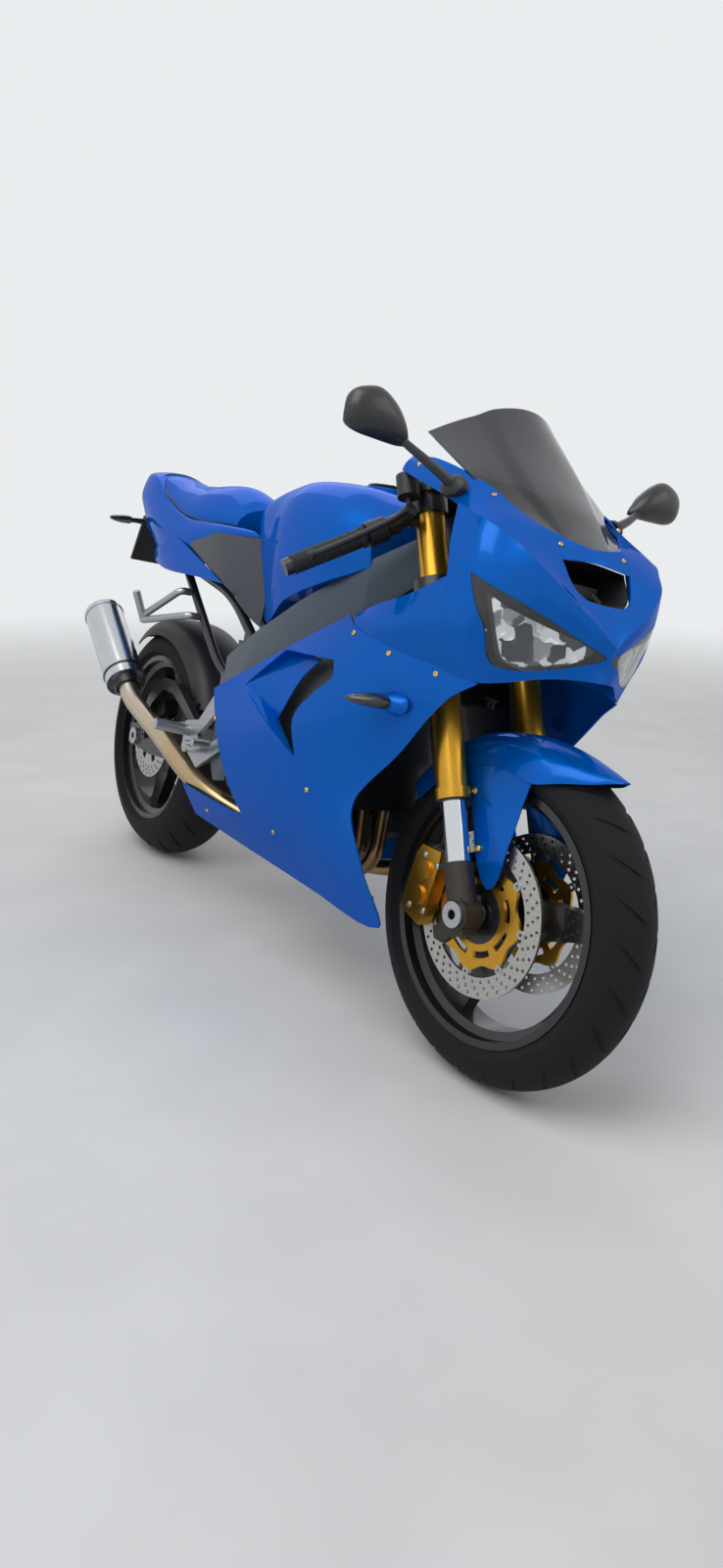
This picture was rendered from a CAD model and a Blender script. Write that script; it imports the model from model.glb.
import math

import bmesh
import bpy
from mathutils import Matrix, Vector, geometry, noise


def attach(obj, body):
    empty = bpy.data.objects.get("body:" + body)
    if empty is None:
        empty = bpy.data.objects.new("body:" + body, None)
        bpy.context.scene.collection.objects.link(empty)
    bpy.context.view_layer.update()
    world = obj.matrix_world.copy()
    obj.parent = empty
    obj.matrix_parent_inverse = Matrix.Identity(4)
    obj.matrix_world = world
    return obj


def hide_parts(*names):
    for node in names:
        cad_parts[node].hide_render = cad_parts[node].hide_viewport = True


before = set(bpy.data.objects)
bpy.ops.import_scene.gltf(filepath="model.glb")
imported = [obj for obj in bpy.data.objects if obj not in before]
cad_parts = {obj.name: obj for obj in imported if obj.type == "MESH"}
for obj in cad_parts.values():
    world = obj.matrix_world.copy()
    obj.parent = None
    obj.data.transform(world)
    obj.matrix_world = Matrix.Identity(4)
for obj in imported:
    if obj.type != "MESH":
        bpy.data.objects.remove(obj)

for name in ("Cube", "Light", "Camera"):
    if name in bpy.data.objects:
        bpy.data.objects.remove(bpy.data.objects[name])
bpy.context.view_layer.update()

# Main frame: two pressed and welded aluminium spars that run from the steering head to the
# swingarm pivot, their edges rounded over. The machine leans on its side stand: REST sets the
# upright design down so. Millimetres run from the rear wheel's foot.
REAR_CONTACT, LEAN, NOSE_DOWN = (-0.644, -0.2, 0.00165367), math.radians(-11), math.radians(0.0497)
REST = (Matrix.Translation(REAR_CONTACT) @ Matrix.Rotation(LEAN, 4, "X")
        @ Matrix.Rotation(NOSE_DOWN, 4, "Y"))


def linear(code):
    """A colour written as sRGB hex, as the linear numbers that shaders take."""
    parts = [int(code[i:i + 2], 16) / 255 for i in (1, 3, 5)]
    return [c / 12.92 if c <= 0.04045 else ((c + 0.055) / 1.055) ** 2.4 for c in parts] + [1.0]


def finish_of(name, colour, metallic=0.0, roughness=0.5, **sockets):
    """A material with its shader, ready for its pattern: returns it, its tree and the shader."""
    mat = bpy.data.materials.new(name)
    mat.use_nodes = True
    tree = mat.node_tree
    shader = tree.nodes["Principled BSDF"]
    shader.inputs["Base Color"].default_value = linear(colour)
    shader.inputs["Metallic"].default_value = metallic
    shader.inputs["Roughness"].default_value = roughness
    for socket, value in sockets.items():
        shader.inputs[socket.replace("_", " ")].default_value = value
    return mat, tree, shader


# Powder coat: satin dark grey, whose fine orange peel softens every highlight.
frame_coat, tree, shader = finish_of("powder_coat_satin_grey", "#414d59", 0.35, 0.36)


def add(tree, kind, links=None, **settings):
    """One node with its settings, its sockets' values and its links."""
    node = tree.nodes.new(kind)
    for key, value in settings.items():
        setattr(node, key, value)
    for socket, value in (links or {}).items():
        if isinstance(value, bpy.types.NodeSocket):
            tree.links.new(value, node.inputs[socket])
        else:
            node.inputs[socket].default_value = value
    return node


def grain(tree, shader, size, depth, detail=2.0, stretch=(1, 1, 1)):
    """Relief of grains of a size in metres, as deep as depth; returns the pattern."""
    where = add(tree, "ShaderNodeTexCoord").outputs["Object"]
    where = add(tree, "ShaderNodeMapping", {"Vector": where, "Scale": stretch}).outputs[0]
    spots = add(tree, "ShaderNodeTexNoise", {"Vector": where, "Scale": 1 / size, "Detail": detail})
    bump = add(tree, "ShaderNodeBump", {"Height": spots.outputs[0], "Strength": 1.0,
                                        "Distance": depth})
    tree.links.new(bump.outputs[0], shader.inputs["Normal"])
    return spots.outputs[0]


def vary(tree, shader, pattern, low, high, colours=None):
    """Roughness from low to high, and colour between two hex values, by a pattern."""
    rough = add(tree, "ShaderNodeMapRange", {"Value": pattern, "To Min": low, "To Max": high})
    tree.links.new(rough.outputs[0], shader.inputs["Roughness"])
    if colours:
        ramp = add(tree, "ShaderNodeValToRGB", {"Fac": pattern})
        ramp.color_ramp.elements[0].position = 0.35
        ramp.color_ramp.elements[1].position = 0.65
        for element, code in zip(ramp.color_ramp.elements, colours):
            element.color = linear(code)
        tree.links.new(ramp.outputs[0], shader.inputs["Base Color"])


vary(tree, shader, grain(tree, shader, 0.0012, 0.00003), 0.3, 0.42, ("#3d4853", "#495562"))
SPAR_EDGE = 0.007
spars = bpy.data.objects.new("frame_spars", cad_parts["main_frame"].data.copy())
bpy.context.scene.collection.objects.link(spars)
spars["corner"] = 50
body = bmesh.new()
body.from_mesh(spars.data)
bmesh.ops.remove_doubles(body, verts=body.verts, dist=0.00001)
bmesh.ops.dissolve_limit(body, angle_limit=math.radians(0.5), verts=body.verts, edges=body.edges)
body.to_mesh(spars.data)
body.free()
spars.data.materials.clear()
spars.data.materials.append(frame_coat)
edges = spars.modifiers.new("edges", "BEVEL")
edges.width = SPAR_EDGE
edges.segments = 3
edges.limit_method = "ANGLE"
edges.angle_limit = math.radians(12)


def settle(obj):
    """The object's modifiers, made into its mesh."""
    seen = obj.evaluated_get(bpy.context.evaluated_depsgraph_get())
    mesh = bpy.data.meshes.new_from_object(seen)
    obj.modifiers.clear()
    obj.data = mesh
    mesh.set_sharp_from_angle(angle=math.radians(obj.get("corner", 35)))
    return obj


settle(spars)
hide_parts("main_frame")
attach(spars, "chassis")

# Subframe, swingarm, yokes, side stand and radiator: welded steel and aluminium, bolted or hinged
# to the frame. Their black satin paint has a slight orange peel that breaks up long highlights.
black_coat, tree, shader = finish_of("black_satin_paint", "#101113", 0.0, 0.38, Coat_Weight=0.25)
vary(tree, shader, grain(tree, shader, 0.002, 0.00005), 0.32, 0.46, ("#0e0f11", "#15171a"))


def dress(mat, *names):
    """Gives CAD nodes a material in place of their plain one."""
    for name in names:
        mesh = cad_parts[name].data
        mesh.materials.clear()
        mesh.materials.append(mat)


dress(black_coat, "subframe", "swingarm", "yokes", "side_stand", "radiator")

# Engine: one cast aluminium block, bolted between the spars. It is painted dark grey over a
# skin that is rough from its sand mould, so it stays dull and broken in tone.
cast_grey, tree, shader = finish_of("cast_aluminium_dark", "#2b2d30", 0.6, 0.55)
vary(tree, shader, grain(tree, shader, 0.0025, 0.0002, 6.0), 0.45, 0.7, ("#232528", "#34373b"))
dress(cast_grey, "engine")

# Exhaust pipes: bent and welded stainless tube, from the engine under the machine to the silencer.
# Heat has tinted it: straw at the silencer, brown towards the engine, in uneven bands.
heat_steel, tree, shader = finish_of("heat_tinted_steel", "#9a8466", 1.0, 0.28)
where = add(tree, "ShaderNodeTexCoord").outputs["Object"]
spots = add(tree, "ShaderNodeTexNoise", {"Vector": where, "Scale": 9.0, "Detail": 3.0})
along = add(tree, "ShaderNodeSeparateXYZ", {"Vector": where})
heat = add(tree, "ShaderNodeMapRange", {"Value": along.outputs["X"], "From Min": -0.62,
                                        "From Max": 0.35, "To Min": 0.0, "To Max": 0.85})
mixed = add(tree, "ShaderNodeMath", {0: heat.outputs[0], 1: spots.outputs[0]}, operation="MULTIPLY_ADD")
mixed.inputs[2].default_value = 0.08
ramp = add(tree, "ShaderNodeValToRGB", {"Fac": mixed.outputs[0]})
ramp.color_ramp.elements[0].color = linear("#c9c3b8")
ramp.color_ramp.elements[1].color = linear("#4e3c2c")
ramp.color_ramp.elements.new(0.3).color = linear("#b39a6d")
ramp.color_ramp.elements.new(0.6).color = linear("#7d5f3f")
tree.links.new(ramp.outputs[0], shader.inputs["Base Color"])
rough = add(tree, "ShaderNodeMapRange", {"Value": spots.outputs[0], "To Min": 0.18, "To Max": 0.42})
tree.links.new(rough.outputs[0], shader.inputs["Roughness"])
dress(heat_steel, "exhaust_pipes")

# Silencer: a rolled stainless can with a wide outlet, slid over the link pipe and held there by a
# black clamp. Fine polishing lines run round it and draw the highlight out into a band.
brushed, tree, shader = finish_of("polished_stainless", "#c3c6ca", 1.0, 0.2)
vary(tree, shader, grain(tree, shader, 0.0012, 0.00003, 3.0, (0.08, 1, 1)), 0.12, 0.3,
     ("#b9bcc1", "#d2d4d7"))
dress(brushed, "silencer")
SILENCER_FOOT = Vector((0.008, -0.1766, 0.4567))
SILENCER_END = Vector((-0.206, -0.1856, 0.619))
along = (SILENCER_END - SILENCER_FOOT).to_track_quat("Y", "Z").to_matrix().to_4x4()
CLAMP = [(-18, 24.2), (-18, 31), (-5, 35), (30, 55), (30, 51), (-4, 30)]


def piece(name, verts, faces, mat, where=REST, corner=35):
    """A mesh object from points in millimetres, set down by a matrix, smooth up to an angle."""
    mesh = bpy.data.meshes.new(name)
    mesh.from_pydata([where @ (Vector(v) / 1000) for v in verts], [], faces)
    return finished(name, mesh, mat, corner)


def finished(name, mesh, mat, corner=35):
    """A mesh with its doubles merged, normals outwards and finish, as an object at the origin."""
    work = bmesh.new()
    work.from_mesh(mesh)
    bmesh.ops.remove_doubles(work, verts=work.verts, dist=2e-6)
    bmesh.ops.dissolve_degenerate(work, edges=work.edges, dist=1e-6)
    bmesh.ops.recalc_face_normals(work, faces=work.faces)
    work.to_mesh(mesh)
    work.free()
    mesh.shade_smooth()
    mesh.set_sharp_from_angle(angle=math.radians(corner))
    mesh.materials.clear()
    mesh.materials.append(mat)
    obj = bpy.data.objects.new(name, mesh)
    obj["corner"] = corner
    bpy.context.scene.collection.objects.link(obj)
    return obj


def quads(rows, closed=False, ends=False):
    """Points and faces of a surface through rows of points; closed rings may have end faces."""
    n = len(rows[0])
    faces = []
    for i in range(len(rows) - 1):
        for j in range(n if closed else n - 1):
            k = (j + 1) % n
            faces.append((i * n + j, i * n + k, (i + 1) * n + k, (i + 1) * n + j))
    if ends:
        faces += [tuple(range(n)), tuple((len(rows) - 1) * n + j for j in range(n))]
    return [p for row in rows for p in row], faces


def turned(name, profile, mat, where, steps=96):
    """A body of revolution about the y axis from a closed line of (y, radius)."""
    rings = []
    for i in range(steps):
        a = 2 * math.pi * i / steps
        rings.append([(r * math.cos(a), y, r * math.sin(a)) for y, r in profile])
    return piece(name, *quads(rings + [rings[0]], closed=True), mat, where)


clamp = turned("silencer_clamp", CLAMP, black_coat, REST @ Matrix.Translation(SILENCER_FOOT) @ along)
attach(clamp, "chassis")

# Fuel tank: pressed and welded steel, rounded over its shoulders and hollowed at the knees, with a
# filler ring on top. It is bolted to the frame in front of the seat.


def embossed(tree, shader, kind, values, height, strength, depth, **settings):
    """A texture in the object's own space, one output of which gives relief; returns it."""
    where = add(tree, "ShaderNodeTexCoord").outputs["Object"]
    texture = add(tree, kind, {"Vector": where, **values}, **settings)
    bump = add(tree, "ShaderNodeBump", {"Height": texture.outputs[height], "Strength": strength,
                                        "Distance": depth})
    tree.links.new(bump.outputs[0], shader.inputs["Normal"])
    return texture


# Metallic paint: fine flakes under a clear coat make the blue deep in shade and bright in light.
blue, tree, shader = finish_of("blue_metallic_paint", "#005cc0", 0.4, 0.3, Coat_Weight=0.25,
                               Coat_Roughness=0.03, Specular_IOR_Level=0.0)
shader.inputs["Specular Tint"].default_value = linear("#2fa0ff")
flakes = embossed(tree, shader, "ShaderNodeTexVoronoi", {"Scale": 2600.0}, "Distance", 0.12, 0.0002)
tint = add(tree, "ShaderNodeValToRGB", {"Fac": flakes.outputs["Color"]})
tint.color_ramp.elements[0].color = linear("#0054ae")
tint.color_ramp.elements[1].color = linear("#0068cc")
tree.links.new(tint.outputs[0], shader.inputs["Base Color"])
TANK = [
    (428, [(58, 896), (66, 918), (60, 940), (34, 950), (0, 952)]),
    (462, [(82, 850), (93, 898), (88, 936), (52, 962), (0, 966)]),
    (510, [(103, 808), (116, 880), (110, 940), (64, 980), (0, 987)]),
    (604, [(118, 692), (139, 838), (134, 932), (88, 990), (0, 1000)]),
    (720, [(148, 747), (170, 862), (160, 946), (108, 996), (0, 1006)]),
    (870, [(158, 792), (172, 868), (160, 930), (102, 984), (0, 993)]),
    (950, [(136, 822), (145, 871), (137, 919), (84, 961), (0, 972)]),
    (986, [(126, 837), (133, 872), (125, 911), (74, 945), (0, 956)])]


def smooth(points, n, closed=False, sharp=()):
    """n steps from each point to the next on a rounded line, with corners at the sharp ones."""
    pts = [Vector(p) for p in points]
    count = len(pts)
    out = []
    for i in range(count if closed else count - 1):
        j = (i + 1) % count
        a, b = pts[i], pts[j]
        run = (b - a).length or 1e-9
        start = end = b - a
        if (closed or i > 0) and i not in sharp:
            start = (b - pts[i - 1]) * run / (run + (a - pts[i - 1]).length)
        if (closed or i + 2 < count) and j not in sharp:
            far = pts[(j + 1) % count]
            end = (far - a) * run / (run + (far - b).length)
        for k in range(n):
            f = k / n
            out.append(a * (2 * f**3 - 3 * f**2 + 1) + start * (f**3 - 2 * f**2 + f)
                       + b * (3 * f**2 - 2 * f**3) + end * (f**3 - f**2))
    return out if closed else out + [pts[-1]]


def skin(columns, along, across, sharp=(), closed=False):
    """A surface: each column of points is rounded along, then each row of them across."""
    runs = [smooth(c, along) for c in columns]
    return [smooth(row, across, closed, sharp) for row in zip(*runs)]


def hull(name, rows, mat, along=6, across=6, sharp=(), corner=35):
    """A closed body whose cross-sections are rows of x and its (y, z), one half, mirrored."""
    rings = []
    for x, half in rows:
        ring = [(x, y, z) for y, z in half]
        ring += [(x, -y, z) for y, z in half[::-1] if abs(y) > 0.01]
        rings.append(ring)
    columns = [list(c) for c in zip(*rings)]
    grid = skin(columns, along, across, sharp, closed=True)
    return piece(name, *quads(grid, closed=True, ends=True), mat, corner=corner)


tank = hull("fuel_tank_shell", TANK, blue, 5, 5, sharp=(0, 8))
UPRIGHT = Matrix.Rotation(math.radians(90), 4, "X")
FILLER_X = 0.82
ring = turned("filler_ring", [(0, 61), (50.5, 61), (52, 59.5), (52, 22), (0, 22)], blue,
              REST @ Matrix.Translation((FILLER_X, 0, 0.948)) @ UPRIGHT)
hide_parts("fuel_tank")
for obj in (tank, ring):
    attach(obj, "chassis")

# Fuel cap: a turned aluminium lid, hinged behind, with a zinc key shutter and a ring of six socket
# screws. Black anodising keeps a dark metal sheen; the zinc is cool and bright.
black_anodised, tree, shader = finish_of("black_anodised_aluminium", "#17181a", 0.8, 0.34)
vary(tree, shader, grain(tree, shader, 0.0008, 0.00002), 0.28, 0.42, ("#141517", "#1d1e21"))
zinc, tree, shader = finish_of("zinc_plated_steel", "#aeb1b4", 1.0, 0.3)
vary(tree, shader, grain(tree, shader, 0.0009, 0.00003), 0.22, 0.45, ("#a2a5a9", "#bcbfc2"))


def fixings_tree():
    """A node group that sets one part on every point of a mesh, turned and sized as it says."""
    group = bpy.data.node_groups.new("fixings", "GeometryNodeTree")
    faces = group.interface
    faces.new_socket("Places", in_out="INPUT", socket_type="NodeSocketGeometry")
    faces.new_socket("Part", in_out="INPUT", socket_type="NodeSocketObject")
    faces.new_socket("Finish", in_out="INPUT", socket_type="NodeSocketMaterial")
    faces.new_socket("Result", in_out="OUTPUT", socket_type="NodeSocketGeometry")
    inlet = group.nodes.new("NodeGroupInput")
    part = add(group, "GeometryNodeObjectInfo", {"Object": inlet.outputs["Part"]},
               transform_space="ORIGINAL")
    turn = add(group, "GeometryNodeInputNamedAttribute", {"Name": "turn"}, data_type="FLOAT_VECTOR")
    grow = add(group, "GeometryNodeInputNamedAttribute", {"Name": "grow"}, data_type="FLOAT")
    points = add(group, "GeometryNodeMeshToPoints", {"Mesh": inlet.outputs["Places"]})
    put = add(group, "GeometryNodeInstanceOnPoints", {
        "Points": points.outputs[0], "Instance": part.outputs["Geometry"],
        "Rotation": turn.outputs[0], "Scale": grow.outputs[0]})
    real = add(group, "GeometryNodeRealizeInstances", {"Geometry": put.outputs[0]})
    done = add(group, "GeometryNodeSetMaterial", {"Geometry": real.outputs[0],
                                                  "Material": inlet.outputs["Finish"]})
    out = group.nodes.new("NodeGroupOutput")
    group.links.new(done.outputs[0], out.inputs[0])
    return group


fixings = fixings_tree()


def screw(name):
    """A domed socket screw of one metre across, whose head stands on z = 0: scaled when set."""
    work = bmesh.new()
    rings = []
    for r, z in ((0.5, -0.3), (0.5, 0.16), (0.42, 0.26), (0.27, 0.3)):
        rings.append([work.verts.new((r * math.cos(a), r * math.sin(a), z))
                      for a in (math.tau * i / 24 for i in range(24))])
    for z in (0.3, 0.04):
        rings.append([work.verts.new((0.24 * math.cos(a), 0.24 * math.sin(a), z))
                      for a in (math.tau * (i // 4 * 4) / 24 + (i % 4) * 0.0001 for i in range(24))])
    for a, b in zip(rings, rings[1:]):
        for i in range(24):
            work.faces.new((a[i], a[(i + 1) % 24], b[(i + 1) % 24], b[i]))
    work.faces.new(rings[-1])
    work.faces.new(rings[0][::-1])
    mesh = bpy.data.meshes.new(name)
    work.to_mesh(mesh)
    work.free()
    mesh.shade_smooth()
    mesh.set_sharp_from_angle(angle=math.radians(40))
    obj = bpy.data.objects.new(name, mesh)
    bpy.context.scene.collection.objects.link(obj)
    return obj


socket_screw = screw("socket_screw")
LID = [(0.8, 47.5), (5.5, 47.5), (8.2, 45), (8.4, 30), (7.4, 29), (7.4, 24), (8.6, 22), (8.6, 0.2),
       (0.8, 0.2)]
SCREW_RING, SCREWS, LID_TOP = 0.038, 6, 1.0082
lid = turned("cap_lid", LID, black_anodised, REST @ Matrix.Translation((FILLER_X, 0, 1.0)) @ UPRIGHT)


def strewn(name, part, places, mat):
    """One mesh of like parts: places are (point in metres, its axis, size) of each."""
    mesh = bpy.data.meshes.new(name)
    mesh.from_pydata([p for p, axis, grow in places], [], [])
    mesh.attributes.new("turn", "FLOAT_VECTOR", "POINT")
    mesh.attributes.new("grow", "FLOAT", "POINT")
    turn, grows = mesh.attributes["turn"], mesh.attributes["grow"]
    for i, (p, axis, grow) in enumerate(places):
        if isinstance(axis, Matrix):
            turn.data[i].vector = axis.to_euler()
        else:
            turn.data[i].vector = Vector(axis).to_track_quat("Z", "Y").to_euler()
        grows.data[i].value = grow
    obj = bpy.data.objects.new(name, mesh)
    bpy.context.scene.collection.objects.link(obj)
    step = obj.modifiers.new("fixings", "NODES")
    step.node_group = fixings
    for item in fixings.interface.items_tree:
        if item.name in ("Part", "Finish"):
            step[item.identifier] = {"Part": part, "Finish": mat}[item.name]
    return settle(obj)


def normal_of(where, direction):
    """A design direction as it lies on the parked machine."""
    return (where.to_3x3() @ Vector(direction)).normalized()


cap_screws = strewn("cap_screws", socket_screw, [
    (REST @ Vector((FILLER_X + SCREW_RING * math.cos(a), SCREW_RING * math.sin(a), LID_TOP)),
     normal_of(REST, (0, 0, 1)), 0.006)
    for a in (math.tau * (i + 0.5) / SCREWS for i in range(SCREWS))], zinc)


def slab(name, low, high, mat, where=REST, edge=1.0):
    """A block between two corners in millimetres, with its edges rounded."""
    verts = [(x, y, z) for x in (low[0], high[0]) for y in (low[1], high[1]) for z in (low[2], high[2])]
    faces = [(0, 1, 3, 2), (4, 6, 7, 5), (0, 4, 5, 1), (2, 3, 7, 6), (0, 2, 6, 4), (1, 5, 7, 3)]
    obj = piece(name, verts, faces, mat, where)
    step = obj.modifiers.new("edges", "BEVEL")
    step.width, step.segments = edge / 1000, 2
    return settle(obj)


shutter = slab("cap_shutter", (806, -7, 1008.2), (834, 7, 1010.2), zinc)
dress(black_anodised, "fuel_cap")
for obj in (lid, cap_screws, shutter):
    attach(obj, "fuel_cap")
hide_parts("fuel_cap")

# Rider's seat: shaped foam on a plastic pan, clipped to the subframe, firm and almost flat. The
# vinyl cover is drawn tight over it, with a seam pressed in along each side.
# Vinyl: embossed cells like hide break the sheen of the black into a soft, broad one.
seat_cover, tree, shader = finish_of("seat_cover_vinyl", "#17181a", 0.0, 0.62)
cells = embossed(tree, shader, "ShaderNodeTexVoronoi", {"Scale": 900.0}, "Distance", 0.5, 0.0003)
vary(tree, shader, cells.outputs["Distance"], 0.5, 0.72, ("#141517", "#1e1f22"))
SEAT_PAD = [
    (304, [(90, 838), (101, 858), (96, 878), (60, 893), (0, 890)]),
    (340, [(94, 832), (106, 852), (102, 872), (66, 886), (0, 882)]),
    (390, [(98, 824), (112, 846), (108, 866), (70, 878), (0, 874)]),
    (440, [(94, 816), (108, 842), (102, 862), (62, 873), (0, 870)]),
    (486, [(78, 806), (92, 842), (86, 862), (50, 875), (0, 874)])]
SEAM_Y, SEAM_DEEP, SEAM_WIDE, SEAM_Z = 84, 2.2, 3.0, 858
seat = hull("rider_seat_pad", SEAT_PAD, seat_cover, 8, 8, sharp=(0, 8), corner=50)
for vert in seat.data.vertices:
    p = REST.inverted() @ vert.co * 1000
    if p.z > SEAM_Z:
        seam = SEAM_DEEP * math.exp(-((abs(p.y) - SEAM_Y) / SEAM_WIDE) ** 2)
        sag = 3.0 * noise.noise(Vector((p.x * 0.02, p.y * 0.02, 0)))
        vert.co = REST @ (Vector((p.x, p.y, p.z - seam + 0.3 * sag)) / 1000)
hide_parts("rider_seat")
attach(seat, "chassis")

# Seat cowl: the hump that takes the passenger seat's place, a thin blue moulding with soft
# shoulders, set down on the tail over a black seal that shows as a dark line all round.
# Moulded plastic: black, grained by its mould, so that it takes no sharp highlight.
COWL = [
    (338, [(86, 893), (90, 900), (84, 915), (62, 934), (30, 946), (0, 949)]),
    (300, [(96, 891), (101, 902), (94, 922), (66, 952), (32, 970), (0, 975)]),
    (220, [(110, 890), (113, 908), (104, 934), (72, 972), (34, 996), (0, 1003)]),
    (130, [(113, 894), (116, 914), (108, 938), (76, 976), (34, 1000), (0, 1008)]),
    (50, [(110, 904), (112, 922), (104, 944), (72, 978), (34, 999), (0, 1005)]),
    (-60, [(100, 928), (102, 944), (95, 962), (68, 988), (34, 1004), (0, 1009)]),
    (-158, [(91, 958), (92, 972), (85, 988), (62, 1010), (32, 1022), (0, 1026)]),
    (-214, [(80, 980), (82, 990), (75, 1003), (56, 1021), (30, 1031), (0, 1034)])]
cowl = hull("seat_cowl_shell", COWL, blue, 6, 6, sharp=(0, 10))
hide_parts("seat_cowl")
black_plastic, tree, shader = finish_of("black_moulded_plastic", "#131416", 0.0, 0.5)
vary(tree, shader, grain(tree, shader, 0.001, 0.00005), 0.42, 0.6, ("#101113", "#191a1d"))
JOINT = [(338, 89, 898), (232, 113, 899), (130, 116, 907), (50, 112.5, 922), (-60, 102, 957),
         (-158, 89, 985), (-206, 78, 1006), (-220, 56, 1026), (-225, 30, 1035), (-226, 0, 1038)]
joint_line = smooth(JOINT + [(x, -y, z) for x, y, z in JOINT[-2::-1]], 6)


def tubular(line, radii, mat, name="tube", where=REST, steps=16):
    """A round bar or hose of changing radius along a line of points."""
    pts = [Vector(p) for p in line]
    ways = [(b - a).normalized() for a, b in zip(pts, pts[1:])]
    side = ways[0].orthogonal().normalized()
    rings = []
    for i, p in enumerate(pts):
        way = (ways[max(i - 1, 0)] + ways[min(i, len(ways) - 1)]).normalized()
        side = (side - way * side.dot(way)).normalized()
        up = way.cross(side)
        r = radii[i] if isinstance(radii, (list, tuple)) else radii
        rings.append([p + side * r * math.cos(t) + up * r * math.sin(t)
                      for t in (math.tau * k / steps for k in range(steps))])
    return piece(name, *quads(rings, closed=True, ends=True), mat, where)


seal = tubular(joint_line, 2.2, black_plastic, "cowl_seal")
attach(cowl, "chassis")
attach(seal, "chassis")

# Tail fairing: side panels and back in one thin blue moulding, open for the seat and the cowl,
# pinned to the subframe, with a wing on each side and a grey side cover below the seat.
TAIL = [
    (548, [(100, 862), (104, 866), (106, 872), (104, 877), (98, 880), (0, 881)]),
    (450, [(112, 858), (122, 864), (126, 874), (124, 883), (112, 888), (0, 890)]),
    (362, [(124, 850), (134, 860), (138, 874), (134, 886), (122, 893), (0, 896)]),
    (240, [(130, 820), (141, 838), (145, 862), (138, 884), (122, 898), (0, 902)]),
    (114, [(128, 792), (140, 816), (145, 850), (136, 884), (118, 906), (0, 914)]),
    (0, [(108, 786), (122, 820), (136, 866), (126, 910), (108, 934), (0, 944)]),
    (-100, [(86, 794), (104, 838), (122, 894), (112, 944), (94, 968), (0, 980)]),
    (-222, [(68, 846), (84, 884), (100, 940), (92, 990), (76, 1018), (0, 1037)]),
    (-320, [(54, 898), (66, 928), (78, 966), (70, 1008), (56, 1032), (0, 1044)]),
    (-366, [(40, 930), (48, 948), (56, 976), (50, 1008), (38, 1030), (0, 1044)]),
    (-388, [(28, 958), (33, 968), (38, 986), (34, 1008), (26, 1024), (0, 1036)])]
tail = hull("tail_shell", TAIL, blue, 6, 6, sharp=(0, 10))


def cut(obj, tool, operation="DIFFERENCE"):
    """The object less another, or what both share; the other one goes."""
    step = obj.modifiers.new("cut", "BOOLEAN")
    step.operation, step.object, step.solver = operation, tool, "EXACT"
    settle(obj)
    bpy.data.objects.remove(tool)
    return obj


cut(tail, slab("seat_gap", (232, -115, 700), (700, 115, 1100), blue, edge=6))
COWL_PLAY = 2.2
gap = []
for i, (x, half) in enumerate(COWL):
    line = [(y + COWL_PLAY, z) for y, z in half[:-1]]
    line[0] = (line[0][0], line[0][1] - 3)
    past = 4 if i == 0 else -3 if i + 1 == len(COWL) else 0
    gap.append((x + past, line + [(0, half[-1][1] + 30)]))
cut(tail, hull("cowl_gap", gap, blue, 6, 6, sharp=(0, 10)))
cut(tail, slab("tail_room", (-248, -90, 700), (236, 90, 904), blue, edge=10))
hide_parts("tail_fairing")
TAIL_WING = [
    [(-122, 88, 786), (0, 116, 772), (110, 136, 766), (220, 145, 764), (330, 150, 762), (428, 151, 757)],
    [(-122, 92, 800), (0, 128, 800), (110, 144, 806), (220, 149, 799), (330, 151, 778), (428, 151, 757.5)],
    [(-122, 96, 816), (0, 134, 826), (110, 145.5, 852), (220, 149, 826), (330, 151, 791), (428, 151, 758)]]
# Grey moulding: its colour is in the plastic, with a faint metallic fleck and a soft grain.
grey, tree, shader = finish_of("moulded_plastic_grey", "#3c4048", 0.3, 0.4)
vary(tree, shader, grain(tree, shader, 0.0011, 0.00004), 0.34, 0.48, ("#383c44", "#42464e"))
COVER = [
    [(112, 136, 871), (235, 139, 872), (350, 138, 872), (470, 125, 870), (578, 106, 868)],
    [(190, 142, 842), (280, 145, 836), (380, 142, 832), (490, 128, 826), (584, 114, 818)],
    [(280, 146, 810), (350, 148, 800), (430, 143, 792), (510, 130, 780), (590, 119, 760)],
    [(362, 147, 780), (420, 148, 768), (478, 141, 748), (536, 130, 728), (592, 121, 706)],
    [(430, 145, 756), (482, 144, 738), (520, 138, 712), (560, 130, 690), (590, 122, 678)]]
side_covers = []


def walled(obj, mm, offset=-1.0, even=True):
    """A surface given a wall's thickness in millimetres, inwards unless said otherwise."""
    wall = obj.modifiers.new("wall", "SOLIDIFY")
    wall.thickness, wall.offset, wall.use_even_offset = mm / 1000, offset, even
    wall.use_quality_normals = True
    return settle(obj)


for flip in (1, -1):
    for name, rows, mat in (("tail_wing", skin(TAIL_WING, 6, 6), blue),
                            ("seat_side", skin(COVER, 7, 7), grey)):
        verts, faces = quads([[(x, flip * y, z) for x, y, z in row] for row in rows])
        side_covers.append(walled(piece(name, verts, faces, mat), 3.0, 0.0))


def joined(name, objects):
    """Several objects as one mesh, keeping their finishes."""
    mesh = bpy.data.meshes.new(name)
    work = bmesh.new()
    finishes = []
    for obj in objects:
        start = len(work.faces)
        work.from_mesh(obj.data)
        work.faces.ensure_lookup_table()
        mat = obj.data.materials[0]
        if mat not in finishes:
            finishes.append(mat)
        for face in work.faces[start:]:
            face.material_index = finishes.index(mat)
        bpy.data.objects.remove(obj)
    work.to_mesh(mesh)
    work.free()
    for mat in finishes:
        mesh.materials.append(mat)
    out = bpy.data.objects.new(name, mesh)
    bpy.context.scene.collection.objects.link(out)
    return out


covers = joined("seat_side_covers", side_covers)
for obj in (tail, covers):
    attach(obj, "chassis")

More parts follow.
